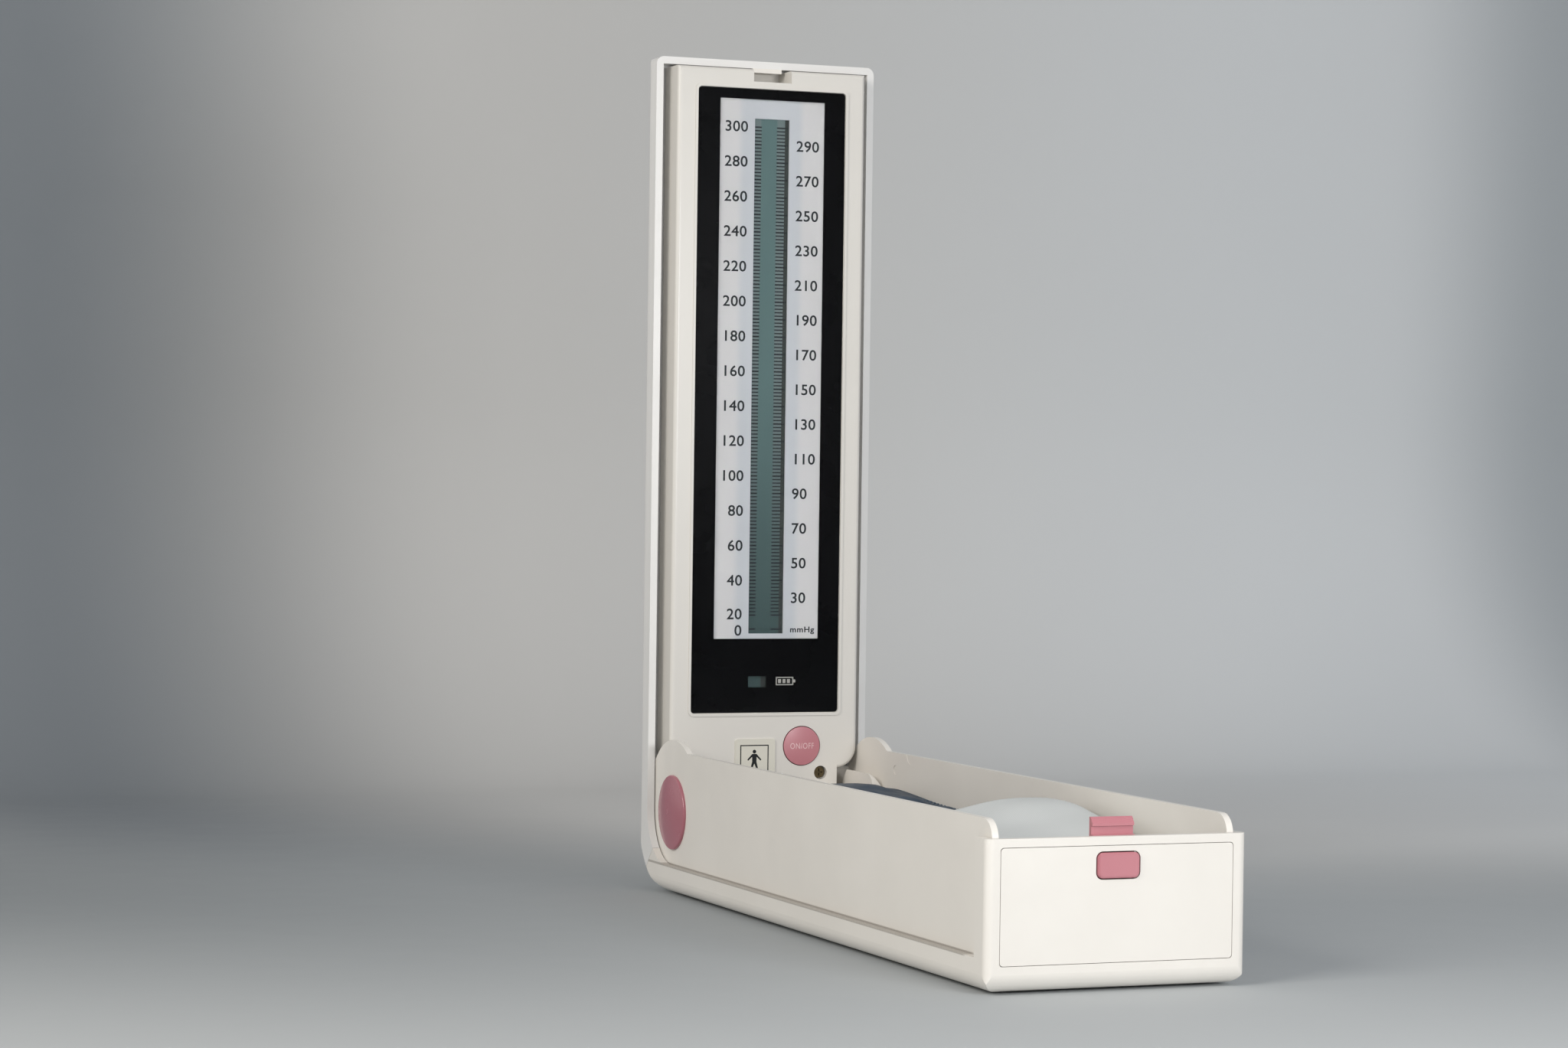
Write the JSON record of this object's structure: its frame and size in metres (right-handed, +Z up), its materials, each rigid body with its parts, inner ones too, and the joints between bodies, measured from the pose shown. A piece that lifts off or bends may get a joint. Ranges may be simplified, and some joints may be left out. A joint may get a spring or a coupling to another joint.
{
  "type": "mercury-free desk sphygmomanometer",
  "caption": "Long hinged blood pressure meter case with an upright lid that carries a column display, and a tray holding the folded cuff.",
  "frame": {"origin": "middle of the footprint on the table, under the rubber feet, with the lid standing open", "axes": "+Z up, +X to the right seen from the latch end, +Y from the latch end to the hinge end"},
  "size_m": [0.097, 0.3434, 0.3435],
  "materials": {
    "case_plastic": "fine satin moulding, warm white",
    "display_plastic": "satin moulding, pale white",
    "rose_plastic": "semi-gloss, dusty rose",
    "black_plastic": "matte",
    "scale_white": "printed matte film",
    "lcd": "smooth grey-green",
    "window": "glossy, tinted",
    "board": "solder mask",
    "label_film": "clear raised film",
    "foot_rubber": "matte",
    "tube_rubber": "matte",
    "steel": "plain steel",
    "nickel": "nickel plated",
    "brass_screw": "yellow passivated",
    "cell_metal": "wrapped steel can",
    "cuff_fabric": "glossy coated cloth, navy",
    "grey_fabric": "soft matte cloth, blue-grey"
  },
  "bodies": {
    "base": {"base_shell": "case_plastic", "inner_tray": "case_plastic", "front_cover": "case_plastic", "hinge_cheek_left": "case_plastic", "hinge_cheek_right": "case_plastic", "hinge_pin_left": "steel", "hinge_pin_right": "steel", "hinge_cap_left": "rose_plastic", "hinge_cap_right": "rose_plastic", "rubber_feet": "foot_rubber", "base_screws": "steel", "latch_pin": "steel", "latch_spring": "steel", "arm_cuff": "cuff_fabric", "folded_cloth": "grey_fabric"},
    "lid": {"lid_shell": "case_plastic", "lid_catch": "case_plastic", "display_front": "display_plastic", "display_back": "display_plastic", "front_window": "window", "screen_mask": "black_plastic", "scale_plate": "scale_white", "column_lcd": "lcd", "indicator_lcd": "lcd", "display_board": "board", "power_switch": "black_plastic", "lcd_connector": "foot_rubber", "pressure_sensor": "black_plastic", "air_tube": "tube_rubber", "air_port": "nickel", "battery_cells": "cell_metal", "battery_contacts": "nickel", "battery_springs": "nickel", "battery_cover": "case_plastic", "battery_cover_screw": "steel", "display_screws": "brass_screw", "lid_screws": "steel", "hinge_bush_left": "black_plastic", "hinge_bush_right": "black_plastic", "symbol_label": "label_film"},
    "latch": {"latch_lever": "rose_plastic"},
    "button": {"power_button": "rose_plastic"}
  },
  "joints": [
    {"name": "lid_hinge", "type": "hinge", "parent": "base", "child": "lid", "pos_m": [0, 0.13915, 0.0335], "axis": [1, 0, 0], "range_deg": [0, 90]},
    {"name": "latch_press", "type": "hinge", "parent": "base", "child": "latch", "pos_m": [0, -0.16585, 0.016], "axis": [-1, 0, 0], "range_deg": [0, 2.6], "stiffness_Nm_per_rad": 1, "springref_deg": -3.44, "deforming": ["latch_spring"]},
    {"name": "power_press", "type": "slide", "parent": "lid", "child": "button", "axis": [0, 1, 0], "range_m": [0, 0.0008], "stiffness_N_per_m": 600, "springref_m": -0.0012}
  ]
}
